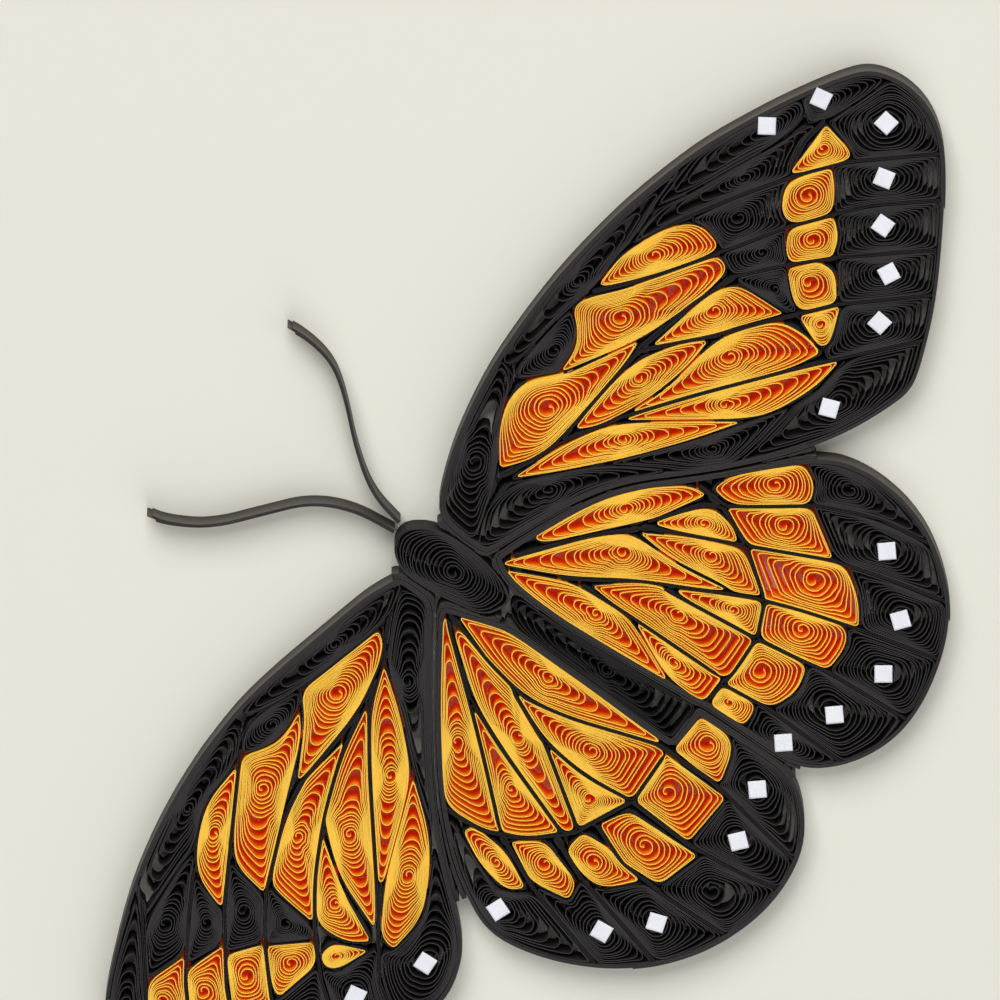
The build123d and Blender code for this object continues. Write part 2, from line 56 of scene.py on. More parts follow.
# %% The sheet and the table
MM = 0.001
PATTERN_STEP = 0.1 * MM
STRIP_HEIGHT = 3.2 * MM
SHEET_LEAN = radians(15.0)
BODY_TURN = radians(-55.5)
THORAX_X = 450
THORAX_Y = 565
HEAD = (395, 525)
SHEET_CENTRE = (500, 500)
SHEET_RIGHT = Vector((cos(BODY_TURN), sin(BODY_TURN), 0))
SHEET_UP = Vector((-sin(BODY_TURN), cos(BODY_TURN), 0))
STRAIGHT_UP = Vector((0, 0, 1))


def place(x, y):
    """A point of the pattern sheet as a point on the table, in metres."""
    across = (x - THORAX_X) * PATTERN_STEP
    up = (THORAX_Y - y) * PATTERN_STEP / cos(SHEET_LEAN)
    spot = SHEET_RIGHT * across + SHEET_UP * up
    return np.array(spot[:2])


print("the head lies at", place(*HEAD))

# %% [markdown]
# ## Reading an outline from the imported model
# A packed coil is a mesh of loose triangles. A copy is merged, and the edges that
# bound its top faces are chained into closed loops. The largest loop is the wall
# that the paper has to fill. A second loop runs round the gap between the turns,
# and its first corner is the eye, where the winding began: every other corner of
# the gap lies on a straight line from the eye to a corner of the wall.

# %% Closed loops round the top of a node
MERGE_REACH = 0.002 * MM
LEVEL_ENOUGH = 0.9


def top_loops(node):
    """The loops that bound the top of a node's solids, anticlockwise round paper."""
    mesh = bmesh.new()
    mesh.from_mesh(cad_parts[node].data)
    bmesh.ops.remove_doubles(mesh, verts=mesh.verts, dist=MERGE_REACH)
    mesh.normal_update()
    flat = [face for face in mesh.faces if face.normal.z > LEVEL_ENOUGH]
    known = set(flat)
    ways = {}
    for face in flat:
        for corner in face.loops:
            if sum(other in known for other in corner.edge.link_faces) == 1:
                ways.setdefault(corner.vert, []).append(corner.link_loop_next.vert)
    loops = []
    while ways:
        vert = next(iter(ways))
        chain = []
        while vert in ways:
            chain.append((vert.co.x, vert.co.y))
            following = ways[vert].pop()
            if not ways[vert]:
                del ways[vert]
            vert = following
        loops.append(np.array(chain))
    mesh.free()
    return loops


def area_of(loop):
    """The signed area inside a closed loop."""
    after = np.roll(loop, -1, axis=0)
    return 0.5 * float(np.sum(loop[:, 0] * after[:, 1] - loop[:, 1] * after[:, 0]))


def inside(point, loop):
    """Whether a point lies inside a closed loop."""
    after = np.roll(loop, -1, axis=0)
    spans = (loop[:, 1] > point[1]) != (after[:, 1] > point[1])
    rise = np.where(spans, after[:, 1] - loop[:, 1], 1.0)
    cross = loop[:, 0] + (point[1] - loop[:, 1]) * (after[:, 0] - loop[:, 0]) / rise
    return int(np.sum(spans & (cross > point[0]))) % 2 == 1


def eye_of(gap, wall):
    """The corner of the gap from which the others line up with the wall's corners."""
    best = None
    for index, corner in enumerate(gap):
        others = np.delete(gap, index, axis=0) - corner
        rays = wall - corner
        turns = np.arctan2(*others.T[::-1])[:, None] - np.arctan2(*rays.T[::-1])[None, :]
        misses = np.abs((turns + pi) % (2 * pi) - pi).min(axis=1)
        if best is None or misses.sum() < best[0]:
            best = (misses.sum(), corner)
    return best[1]


def cells_of(node):
    """The wall and the eye of every coil in a node."""
    loops = top_loops(node)
    gaps = [loop for loop in loops if area_of(loop) < 0]
    cells = []
    for wall in (loop for loop in loops if area_of(loop) > 0):
        own = [gap for gap in gaps if inside(gap[0], wall)]
        if own:
            cells.append((wall, eye_of(own[0], wall)))
    return cells


print("the thorax starts at", cells_of("thorax_coil")[0][1])

# %% [markdown]
# ## Soft corners
# Paper never bends to a mathematical corner. A pinched tip is almost sharp and a
# side that was only pressed is a long easy curve, so each corner is rounded by an
# amount that grows as the corner opens.

# %% Rounding an outline
SHARP_ROUND = 0.25 * MM
EASY_ROUND = 2.6 * MM
MOST_OF_A_SIDE = 0.48
CORNER_STEPS = 5


def rounded(wall):
    """The wall with every corner turned into a short curve."""
    count = len(wall)
    curve = []
    for index in range(count):
        corner = wall[index]
        back = wall[index - 1] - corner
        ahead = wall[(index + 1) % count] - corner
        openness = 0.5 - 0.5 * float(np.dot(back, ahead)) / (hypot(*back) * hypot(*ahead))
        reach = SHARP_ROUND + (EASY_ROUND - SHARP_ROUND) * openness ** 3
        start = corner + back * min(reach / hypot(*back), MOST_OF_A_SIDE)
        end = corner + ahead * min(reach / hypot(*ahead), MOST_OF_A_SIDE)
        for step in range(CORNER_STEPS + 1):
            share = step / CORNER_STEPS
            left = 1 - share
            curve.append(left ** 2 * start + 2 * share * left * corner + share ** 2 * end)
    return np.array(curve)


def evenly(points, gap, closed=False):
    """The same line with its points a fixed distance apart."""
    line = np.vstack([points, points[:1]]) if closed else points
    runs = np.hypot(*np.diff(line, axis=0).T)
    travelled = np.concatenate([[0], np.cumsum(runs)])
    count = max(4, int(round(travelled[-1] / gap)))
    stations = np.linspace(0, travelled[-1], count + 1)
    if closed:
        stations = stations[:-1]
    return np.stack([np.interp(stations, travelled, line[:, axis]) for axis in (0, 1)], axis=1)


print("points round the thorax", len(rounded(cells_of("thorax_coil")[0][0])))

# %% [markdown]
# ## The next turn inwards
# Wherever a coil is pressed, each turn lies one paper thickness inside the turn
# before it. A ring is kept as its reach from the eye along a fan of rays. Moving
# it inwards means finding, on every ray, the first point that is one thickness
# away from the ring. Moving a ring in and out again rounds its corners, because
# a springy strip can't bend more tightly than it was rolled.

# %% Moving a ring
SMALLEST_REACH = 0.01 * MM
GRAZING = 0.02
ROUNDING = 1e-7
FAN_STEP = 0.32 * MM
EVEN_RAYS = 40
TINY = 1e-9


def moved(reach, rays, amount):
    """A ring moved inwards by an amount, or outwards where the amount is negative."""
    points = reach[:, None] * rays
    tangent = np.roll(points, -1, axis=0) - points
    length = np.hypot(*tangent.T)
    tangent = tangent / np.maximum(length, TINY)[:, None]
    normal = np.stack([-tangent[:, 1], tangent[:, 0]], axis=1)
    wall = -np.sum(points * normal, axis=1)
    facing = -(rays @ normal.T)
    usable = facing > GRAZING
    at = (wall - amount)[None, :] / np.where(usable, facing, 1)
    foot = at * (rays @ tangent.T) - np.sum(points * tangent, axis=1)[None, :]
    usable &= (foot >= -ROUNDING) & (foot <= length[None, :] + ROUNDING) & (at > 0)
    along = rays @ points.T
    aside = rays[:, :1] * points[None, :, 1] - rays[:, 1:] * points[None, :, 0]
    near = (np.abs(aside) < abs(amount)) & (along > 0)
    half = np.sqrt(np.maximum(amount ** 2 - aside ** 2, 0))
    if amount > 0:
        sides = np.where(usable, at, np.inf).min(axis=1)
        corners = np.where(near, along - half, np.inf).min(axis=1)
        return np.clip(np.minimum(sides, corners), SMALLEST_REACH, reach)
    sides = np.where(usable, at, 0).max(axis=1)
    corners = np.where(near, along + half, 0).max(axis=1)
    return np.maximum(np.maximum(sides, corners), reach)


def fan_of(wall, eye):
    """Rays from the eye, close together towards the tips, and the wall's reach on each."""
    skin = evenly(wall, FAN_STEP, closed=True) - eye
    even = np.linspace(-pi, pi, EVEN_RAYS + 1)[:-1]
    angles = np.concatenate([np.arctan2(skin[:, 1], skin[:, 0]), even])
    angles = np.unique(np.round(angles, 3))
    rays = np.stack([np.cos(angles), np.sin(angles)], axis=1)
    start = wall - eye
    side = np.roll(start, -1, axis=0) - start
    cross = rays[:, :1] * side[None, :, 1] - rays[:, 1:] * side[None, :, 0]
    cross = np.where(np.abs(cross) < 1e-12, 1e-12, cross)
    far = (start[:, 0] * side[:, 1] - start[:, 1] * side[:, 0])[None, :] / cross
    share = (start[None, :, 0] * rays[:, 1:] - start[None, :, 1] * rays[:, :1]) / cross
    hit = (far > 0) & (share >= -1e-6) & (share <= 1 + 1e-6)
    return rays, np.where(hit, far, 0).max(axis=1)


rays, reach = fan_of(*cells_of("thorax_coil")[0])
print("rays in the thorax", len(rays), "longest", round(reach.max() / MM, 1), "mm")

# %% [markdown]
# ## Winding the strip
# The strip starts on the outside, follows the wall once, and then gives up a
# little reach on every turn. Where the wall is near the eye, that is just the
# paper's thickness, so the turns lie pressed together in a solid band. Towards
# the far tips the same turns cross the cell as open bows. Inside, where nothing
# presses it, springy paper makes an oval, and near the eye a circle. The last bit
# of strip, which sat in the slot of the tool, curls across the eye.
#
# A share runs through the sums below. It is 0 at the wall and 1 at the eye.

# %% From rings to one long line
PAPER = 0.092 * MM
TURN_STEP = PAPER
ROOM_ROUND_EYE = 1.25 * MM
FEWEST_TURNS = 3
LONG_CELL = 2.6
LONG_TO_COMPACT = 1.2
COMPACT_SPRING = 2.2
FAR_WALL = 2.4
FAR_TO_NEAR = 0.9
OVAL_SLACK = 0.6
SLIDES = (0.2 * MM, 0.1 * MM, 0.05 * MM)
SLIDES_AT_MOST = 8
TIGHTEST_BEND = 0.05 * MM
NO_BEND = 0.004 * MM
LONGEST_CHORD = 2.5 * MM
STRIP_STEP = 0.09 * MM
HOOK_POINTS = 11


def nearest_wall(point, wall):
    """The distance from a point to the wall."""
    side = np.roll(wall, -1, axis=0) - wall
    share = np.clip(((point - wall) * side).sum(axis=1) / (side ** 2).sum(axis=1), 0, 1)
    return float(np.hypot(*(wall + share[:, None] * side - point).T).min())


def settled(eye, wall):
    """The eye after it slid away from a wall that is too close to it."""
    turns = np.arange(0, 2 * pi, 0.4)
    for step in SLIDES:
        for _ in range(SLIDES_AT_MOST):
            room = nearest_wall(eye, wall)
            if room > ROOM_ROUND_EYE:
                return eye
            spots = [eye + step * np.array([cos(turn), sin(turn)]) for turn in turns]
            best = max(spots, key=lambda spot: nearest_wall(spot, wall))
            if nearest_wall(best, wall) < room + 0.2 * step:
                break
            eye = best
    return eye


def main_axis(wall):
    """The direction in which a cell is longest."""
    spread = evenly(wall, 0.3 * MM, closed=True)
    ways = np.linalg.eigh(np.cov((spread - spread.mean(axis=0)).T))[1]
    return ways[:, 1]


def oval(ring, along, aside):
    """The oval that reaches as far as the ring does, lengthwise and crosswise."""
    length = np.where(along > 0, (ring * along).max(), -(ring * along).min())
    width = np.where(aside > 0, (ring * aside).max(), -(ring * aside).min())
    return 1 / np.hypot(along / length, aside / width)


def rings_of(wall, eye, turns, eye_size, spring, begin):
    """The rings of a coil from its wall to its open eye."""
    rays, reach = fan_of(wall, eye)
    found = [moved(reach, rays, 0.5 * PAPER)]
    tight = float(found[0].min())
    eye_size = min(eye_size, 0.3 * tight)
    count = int(max(FEWEST_TURNS, min(turns, (tight - eye_size) / TURN_STEP)))
    spare = np.maximum(found[0] - eye_size, 0)
    # A compact cell is 1 and a long one is 0. The paper makes rounder turns in the first.
    compact = min(max((LONG_CELL - float(found[0].max()) / tight) / LONG_TO_COMPACT, 0), 1)
    spring = spring * (1 + COMPACT_SPRING * compact)
    axis = main_axis(wall)
    along = rays @ axis
    aside = rays @ np.array([-axis[1], axis[0]])
    # One side of a coil is always wound a little tighter than the other.
    side = np.cos(np.arctan2(rays[:, 1], rays[:, 0]) - 40 * begin)
    # A near wall grips the turns, and a far one leaves them loose.
    near = np.clip((FAR_WALL - found[0] / tight) / FAR_TO_NEAR, 0, 1)
    grip = near * (0.75 + 0.25 * side)
    for index in range(1, count + 1):
        uneven = 0.2 * sin(2.4 * index + 60 * begin) - 0.3 * index / count
        share = (index + uneven) / count
        loose = spare * (1 - share ** (1.0 + 0.16 * side))
        held = spare - index * TURN_STEP
        target = eye_size + loose + grip * (1 - share ** 3) * np.maximum(held - loose, 0)
        ring = np.minimum(moved(found[-1], rays, TURN_STEP), target)
        limit = oval(ring, along, aside) * (1 + OVAL_SLACK * (1 - share) ** 2)
        ring = np.minimum(ring, limit)
        room = (0.6 + 0.25 * compact) * (tight - index * TURN_STEP) + 0.2 * eye_size
        bend = max(min(spring * index * TURN_STEP, room), TIGHTEST_BEND)
        ring = np.minimum(ring, moved(moved(ring, rays, bend), rays, -bend))
        ring = np.maximum(ring, 0.6 * eye_size)
        for _ in range(2 if index > 2 else 0):
            ring = 0.25 * np.roll(ring, 1) + 0.5 * ring + 0.25 * np.roll(ring, -1)
        found.append(ring)
    return rays, found


def thinned(path):
    """The line without the points that hardly bend it."""
    kept = [0]
    for index in range(1, len(path) - 1):
        start = path[kept[-1]]
        chord = path[index + 1] - start
        between = path[kept[-1] + 1:index + 1] - start
        away = np.abs(between[:, 0] * chord[1] - between[:, 1] * chord[0])
        away = away / max(hypot(*chord), TINY)
        if away.max() > NO_BEND or hypot(*chord) > LONGEST_CHORD:
            kept.append(index)
    return path[kept + [len(path) - 1]]


def wound(wall, eye, turns, eye_size, spring, begin, curl):
    """The line that the strip follows, from its outer end to the open eye."""
    rays, found = rings_of(wall, eye, turns, eye_size, spring, begin)
    count = len(rays)
    shift = int(begin * count)
    rays = np.roll(rays, -shift, axis=0)
    found = [np.roll(ring, -shift) for ring in found]
    share = np.arange(count) / count
    line = [found[0]]
    for outer, inner in zip(found[:-1], found[1:]):
        line.append(outer + (inner - outer) * share)
    path = np.vstack([eye + reach[:, None] * rays for reach in line])
    last = path[-1] - eye
    hook = []
    for step in np.linspace(0, 1, HOOK_POINTS + 1)[1:]:
        turn = atan2(last[1], last[0]) + step * curl
        reach = hypot(*last) * (1 - 0.75 * step ** 1.5)
        hook.append(eye + reach * np.array([cos(turn), sin(turn)]))
    path = evenly(np.vstack([path, hook]), STRIP_STEP)
    for _ in range(3):
        path[1:-1] = 0.25 * path[:-2] + 0.5 * path[1:-1] + 0.25 * path[2:]
    return thinned(path)


wall, eye = cells_of("thorax_coil")[0]
path = wound(rounded(wall), eye, 16, 0.3 * MM, 1.0, 0.3, 2.6)
length = float(np.hypot(*np.diff(path, axis=0).T).sum())
print("thorax strip", round(length / MM), "mm,", len(path), "points")

# %% [markdown]
# ## Sums for materials
# A material is easier to read as a sum than as a tangle of nodes. This small
# class wraps one socket of the node tree, so that values add and multiply, and
# one method makes any other node from its type, its settings and its inputs.

# %% A socket that adds and multiplies
class Value:
    """A socket of a material that can be used in sums like a number."""

    def __init__(self, tree, socket):
        self.tree = tree
        self.socket = socket

    def node(self, kind, settings=None, inputs=None, output=0):
        """Adds a node by its type, settings and inputs, and goes on with one of its outputs."""
        made = self.tree.nodes.new(kind)
        for name, setting in (settings or {}).items():
            setattr(made, name, setting)
        for name, value in (inputs or {}).items():
            if isinstance(value, Value):
                self.tree.links.new(value.socket, made.inputs[name])
            else:
                made.inputs[name].default_value = value
        return Value(self.tree, made.outputs[output])

    def maths(self, operation, first, second=0.0):
        return self.node("ShaderNodeMath", {"operation": operation}, {0: first, 1: second})

    def __add__(self, other):
        return self.maths("ADD", self, other)

    def __sub__(self, other):
        return self.maths("SUBTRACT", self, other)

    def __rsub__(self, other):
        return self.maths("SUBTRACT", other, self)

    def __mul__(self, other):
        return self.maths("MULTIPLY", self, other)

    def __truediv__(self, other):
        return self.maths("DIVIDE", self, other)

    __radd__ = __add__
    __rmul__ = __mul__

    def step(self, low, high):
        """This value eased from 0 at one level to 1 at another."""
        return self.node("ShaderNodeMapRange", {"interpolation_type": "SMOOTHSTEP"},
                         {"Value": self, "From Min": low, "From Max": high})

    def blend(self, none, full):
        """The colour between two colours that this value stands for."""
        return self.node("ShaderNodeMix", {"data_type": "RGBA"}, {0: self, 6: none, 7: full}, 2)

    def noise(self, scale, detail):
        """A cloudy value from 0 to 1 over this position, with clouds about 1/scale metres wide."""
        wanted = {"Vector": self, "Scale": scale, "Detail": detail}
        return self.node("ShaderNodeTexNoise", {}, wanted)

    def axis(self, name):
        """One axis of this vector."""
        return self.node("ShaderNodeSeparateXYZ", {}, {"Vector": self}, name)

    def scaled(self, factor):
        """This vector or colour times a value."""
        return self.node("ShaderNodeVectorMath", {"operation": "SCALE"}, {0: self, "Scale": factor})

    def feed(self, shader, name):
        """Links this value to one input of a shader."""
        self.tree.links.new(self.socket, shader.inputs[name])


def linear(red, green, blue):
    """A screen colour of 0 to 255 as the light it stands for."""
    return (*[(value / 255) ** 2.2 for value in (red, green, blue)], 1.0)


print("orange as light", [round(value, 3) for value in linear(245, 180, 40)])

# %% [markdown]
# ## Dyed paper
# Quilling paper is dyed through, soft and quite matt. The cut edge of a strip
# catches more light than its face, and on most papers the top of it gets a paler
# painted highlight. Deep between two turns the light has gone from wall to wall
# many times, and each time the orange dye takes out more of the green, so an
# orange coil is red in its depths. That red, and the darker colour towards the
# foot of every paper, is painted shade. The dye also lets a little light through
# the thin paper, and a faint painted red glow near the foot stands for that.

# %% Paper materials
FIBRES_PER_METRE = 9000.0
MOTTLES_PER_METRE = 420.0
BATCHES_PER_METRE = 75.0
NO_GLOW = (0.0, 0.0, 0.0, 1.0)
# Painted light: the colour of the red glow in the orange depths, standing for light that passes
# through the thin paper.
PAINTED_RED_GLOW = (0.11, 0.006, 0.0, 1.0)


def paper(name, face, painted_foot_shade, cut, rough, sheen, glow=NO_GLOW):
    """A dyed paper whose colour changes from painted shade at the foot of the strip to its cut
    edge.
    """
    material = bpy.data.materials.new(name)
    material.use_nodes = True
    surface = material.node_tree.nodes["Principled BSDF"]
    root = Value(material.node_tree, None)
    position = root.node("ShaderNodeTexCoord", {}, {}, "Object")
    height = position.axis("Z") / STRIP_HEIGHT
    facing_up = root.node("ShaderNodeNewGeometry", {}, {}, "Normal").axis("Z").step(0.4, 0.8)
    fibres = position.noise(FIBRES_PER_METRE, 4.0)
    mottle = position.noise(MOTTLES_PER_METRE, 2.0)
    batch = position.noise(BATCHES_PER_METRE, 1.0)
    # Painted shade: the colour goes from the deep colour at the foot of the strip to the face
    # colour near its top.
    face_with_painted_shade = height.step(0.0, 0.95).blend(painted_foot_shade, face)
    # The top of the cut edge gets its own colour, which on most papers is a paler painted
    # highlight.
    colour = (facing_up * height.step(0.5, 0.6)).blend(face_with_painted_shade, cut)
    strength = 0.74 + 0.22 * fibres + 0.18 * mottle + 0.12 * batch
    colour.scaled(strength).feed(surface, "Base Color")
    (rough + 0.12 * mottle).feed(surface, "Roughness")
    surface.inputs["Specular IOR Level"].default_value = sheen
    # A painted red glow, strongest at the foot of the strip and gone at its top.
    if glow != NO_GLOW:
        (1 - height.step(0.15, 1.0)).blend(NO_GLOW, glow).feed(surface, "Emission Color")
        surface.inputs["Emission Strength"].default_value = 1.0
    relief = {"Strength": 0.35, "Distance": 0.02 * MM, "Height": fibres}
    root.node("ShaderNodeBump", {}, relief, "Normal").feed(surface, "Normal")
    return material


ORANGE = paper("orange paper", linear(255, 168, 22), linear(235, 56, 8),
               linear(255, 203, 74), 0.72, 0.25, PAINTED_RED_GLOW)
BLACK = paper("black paper", linear(46, 42, 41), linear(20, 18, 18),
              linear(48, 45, 46), 0.66, 0.4)
DULL_BLACK = paper("dull black paper", linear(36, 34, 34), linear(17, 16, 16),
                   linear(42, 40, 41), 0.85, 0.2)
# Painted light: the face of this black paper is brown, as the outer walls of the edges and antennae
# look where the slanting lamp falls on them, and darker at the foot.
EDGE_BLACK_PAINTED_LIT = paper("black edge paper with painted light", linear(92, 85, 78), linear(50, 45, 42),
                   linear(50, 47, 48), 0.62, 0.4)
WHITE = paper("white paper", linear(236, 236, 244), linear(225, 225, 235),
              linear(240, 240, 248), 0.7, 0.3)
print("papers", ORANGE.name, BLACK.name, DULL_BLACK.name, WHITE.name)

# %% [markdown]
# ## Standing the strips on their edges
# A line becomes a chain of vertices. Extruding its edges upwards gives the upright
# strip and a Solidify modifier gives it the thickness of paper. The top edge
# wavers by up to a tenth of a millimetre, in a short and a long wave along the
# strip, because no one rolls a strip perfectly level.

# %% Strips from lines
SHORT_WAVE = 0.61
LONG_WAVE = 0.23


def stand_up(mesh, path, waver, phase):
    """Adds one upright strip along a line to a mesh."""
    low = [mesh.verts.new((x, y, 0)) for x, y in path]
    travelled = np.concatenate([[0], np.cumsum(np.hypot(*np.diff(path, axis=0).T))]) / MM
    edges = [mesh.edges.new(pair) for pair in zip(low[:-1], low[1:])]
    raised = bmesh.ops.extrude_edge_only(mesh, edges=edges)["geom"]
    for face in (item for item in raised if isinstance(item, bmesh.types.BMFace)):
        face.smooth = True
    for vert, length in zip(low, travelled):
        upright = next(edge for edge in vert.link_edges if edge not in edges)
        top = upright.other_vert(vert)
        short = sin(length * SHORT_WAVE + phase)
        long = sin(length * LONG_WAVE + 2.1 * phase)
        wave = 0.5 + 0.3 * short + 0.2 * long
        top.co.z = STRIP_HEIGHT - waver * wave
    for edge in mesh.edges:
        if edge.is_boundary:
            edge.smooth = False


def finished(name, node, mesh, thickness, material):
    """Turns a mesh of upright strips into a piece that stands for a node."""
    data = bpy.data.meshes.new(name)
    mesh.to_mesh(data)
    mesh.free()
    piece = bpy.data.objects.new(name, data)
    bpy.context.scene.collection.objects.link(piece)
    thick = piece.modifiers.new("paper thickness", "SOLIDIFY")
    thick.thickness = thickness
    thick.offset = 0
    data.materials.append(material)
    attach(piece, "root")
    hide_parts(node)
    return piece


# %% [markdown]
# ## The coils
# Orange coils were rolled from long strips and have a clear open eye. Black ones
# follow the same recipe. A recipe is a paper, its slot, the number of turns and
# the spring, and a higher spring makes rounder turns. Each coil takes its small
# differences from its place on the sheet: how springy it was, where its strip
# ends, how its eye curls.

# %% Wind every coil
EYE_SIZE = 0.5 * MM
COIL_WAVER = 0.07 * MM
WING_RECIPES = {
    "orange_coil": (ORANGE, "orange_paper", 13, 1.6),
    "band_coils": (ORANGE, "orange_paper", 8, 1.8),
    "rim_coils": (BLACK, "black_paper", 10, 2.6),
    "dark_coils": (BLACK, "black_paper", 10, 1.6),
}
BODY_RECIPES = {
    "thorax_coil": (BLACK, "black_paper", 14, 1.4),
    "abdomen_coil": (DULL_BLACK, "black_paper", 14, 1.4),
}


def wind_node(node, material, slot, turns, spring):
    """Winds the coils of one node."""
    mesh = bmesh.new()
    for wall, eye in cells_of(node):
        seed = abs(eye[0] * 7919 + eye[1] * 6271) % 1
        eye_size = EYE_SIZE * (0.8 + 0.4 * (seed * 13 % 1))
        own_spring = spring * (0.8 + 0.5 * (seed * 7 % 1))
        begin = seed * 29 % 1
        curl = 1.6 + 1.4 * (seed * 17 % 1)
        middle = settled(eye, wall)
        strip = wound(rounded(wall), middle, turns, eye_size, own_spring, begin, curl)
        stand_up(mesh, strip, COIL_WAVER, 40 * seed)
    return finished(node + "_strip", node, mesh, PAPER, material)


NODES = sorted(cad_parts)
strips = []
for node in NODES:
    for kind, recipe in WING_RECIPES.items():
        if kind in node:
            strips.append(wind_node(node, *recipe))
for node, recipe in BODY_RECIPES.items():
    strips.append(wind_node(node, *recipe))
print("wound nodes", len(strips), "points", sum(len(strip.data.vertices) for strip in strips))

# %% [markdown]
# ## The edges
# A wing holds together because one long strip is glued round its whole set of
# coils, turn on turn. Four turns make the black edge. Between them run thin
# dark seams, and their upper edges never come out quite level. Where a wing comes
# close to the body or to the next wing, a few short strips pack the joint. The
# other wing packs its own half of a joint, so each leaves just over half free.

# %% Wind the edges of the wings
EDGE_TURNS = 4
EDGE_STEP = 0.12 * MM
EDGE_PAPER = PAPER
EDGE_START = 0.06 * MM
EDGE_POINTS = 0.3 * MM
LAST_TURN_MISSING = 0.2
EDGE_WAVER = 0.1 * MM
JOINT_WAVER = 0.12 * MM
BODY_JOINT = 1.3 * MM
OWN_HALF = 0.46
NEARLY_ALL = 0.86
SKIN_STEP = 0.2 * MM
FAR_AWAY = 1000 * MM
MOST_SCRAPS = 8
SHORTEST_SCRAP = 0.7 * MM


def shifted(line, amount):
    """A closed line moved to its left by an amount, which may grow along it."""
    along = np.roll(line, -1, axis=0) - np.roll(line, 1, axis=0)
    along = along / np.maximum(np.hypot(*along.T), TINY)[:, None]
    return line + np.stack([-along[:, 1], along[:, 0]], axis=1) * np.reshape(amount, (-1, 1))


def packing(ring, skins, far):
    """Short strips outside a closed line, as many as fit before the nearest neighbour."""
    away = np.full(len(ring), FAR_AWAY)
    room = np.full(len(ring), FAR_AWAY)
    for skin, share in skins:
        apart = ring[:, None, :] - skin[None, :, :]
        gap = np.sqrt((apart ** 2).sum(axis=2)).min(axis=1)
        away = np.minimum(away, gap)
        room = np.minimum(room, share * gap)
    step = float(np.hypot(*(ring[1] - ring[0])))
    paths = []
    for turn in range(1, MOST_SCRAPS + 1):
        line = shifted(ring, -EDGE_STEP * (turn - 0.5))
        free = (away < far) & (room > EDGE_STEP * (turn + 0.1))
        if free.all():
            continue
        for start in np.flatnonzero(free & ~np.roll(free, 1)):
            run = 0
            while free[(start + run) % len(ring)]:
                run += 1
            if run * step > SHORTEST_SCRAP:
                paths.append(line[(start + np.arange(run)) % len(ring)])
    return paths


def skins_of(names, share):
    """The outer lines of some nodes, each with the share of the room that may be filled."""
    loops = [loop for name in names for loop in top_loops(name)]
    return [(evenly(loop, SKIN_STEP, closed=True), share) for loop in loops]


def edge_strip(node):
    """Winds the edge of one wing."""
    outer = max(top_loops(node), key=area_of)
    ring = evenly(rounded(outer), EDGE_POINTS, closed=True)
    share = np.arange(len(ring)) / len(ring)
    turns = [shifted(ring, EDGE_START + EDGE_STEP * (turn + share)) for turn in range(EDGE_TURNS)]
    path = np.vstack(turns)[:-int(LAST_TURN_MISSING * len(ring))]
    mesh = bmesh.new()
    stand_up(mesh, thinned(path), EDGE_WAVER, len(ring))
    skins = skins_of([name for name in EDGES if name != node], OWN_HALF)
    skins += skins_of(list(BODY_RECIPES), NEARLY_ALL)
    for number, path in enumerate(packing(ring, skins, BODY_JOINT)):
        stand_up(mesh, thinned(path), JOINT_WAVER, 1.7 * number)
    return finished(node + "_strip", node, mesh, EDGE_PAPER, EDGE_BLACK_PAINTED_LIT)


EDGES = [node for node in NODES if node.endswith("_edge")]
edges = [edge_strip(node) for node in EDGES]
print("edges", len(edges), "points", [len(edge.data.vertices) for edge in edges])

# %% [markdown]
# ## The veins
# A vein is two strips glued face to face. Where veins branch, the two strips part
# and each one follows its own side, so a strip that runs along the inside of the
# network's outline is just how it was glued. A coil seldom fills its cell into
# the last corner, and scraps of black strip close what is left, as long as they
# stay inside the edge of the wing.

# %% Strips along the sides of the veins
VEIN_PAPER = 0.115 * MM
VEIN_INSET = 0.01 * MM
VEIN_WAVER = 0.14 * MM
SCRAP_WAVER = 0.1 * MM
COIL_JOINT = 2.2 * MM


def add_scraps(mesh, ring, skins, border, phase):
    """Packs the room outside a closed line with short strips, all inside the border."""
    for scrap in packing(ring, skins, COIL_JOINT):
        if all(inside(point, border) for point in scrap):
            stand_up(mesh, thinned(scrap), SCRAP_WAVER, phase)


def vein_strips(node):
    """Stands a strip along every side of a wing's veins."""
    wing = node[:node.index("_veins")]
    edge = wing + "_edge"
    own = [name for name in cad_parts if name.startswith(wing) and "square" not in name]
    around = [name for name in own if name != node]
    skins = skins_of(around, OWN_HALF)
    border = sorted(top_loops(edge), key=lambda loop: abs(area_of(loop)))[-2]
    mesh = bmesh.new()
    for number, loop in enumerate(top_loops(node)):
        side = evenly(loop, SKIN_STEP, closed=True)
        line = shifted(side, 0.5 * VEIN_PAPER + VEIN_INSET)
        stand_up(mesh, thinned(np.vstack([line, line[:1]])), VEIN_WAVER, 3.1 * number)
        add_scraps(mesh, side, skins, border, 1.3 * number)
    coils = [name for name in around if name != edge]
    walls = [wall for name in coils for wall, _ in cells_of(name)]
    walls = [evenly(wall, SKIN_STEP, closed=True) for wall in walls]
    fixed = skins_of([node, edge], OWN_HALF)
    for number, wall in enumerate(walls):
        others = [(other, OWN_HALF) for other in walls if other is not wall]
        add_scraps(mesh, wall, fixed + others, border, 1.9 * number)
    return finished(node + "_strip", node, mesh, VEIN_PAPER, DULL_BLACK)


veins = [vein_strips(node) for node in NODES if node.endswith("_veins")]
print("veins", len(veins), "points", [len(vein.data.vertices) for vein in veins])

# %% [markdown]
# ## The antennae
# Three strips of slightly different lengths are glued face to face over most of
# their length. Drawn between finger and thumb nail they take a curl, and at the
# free end they part a little.

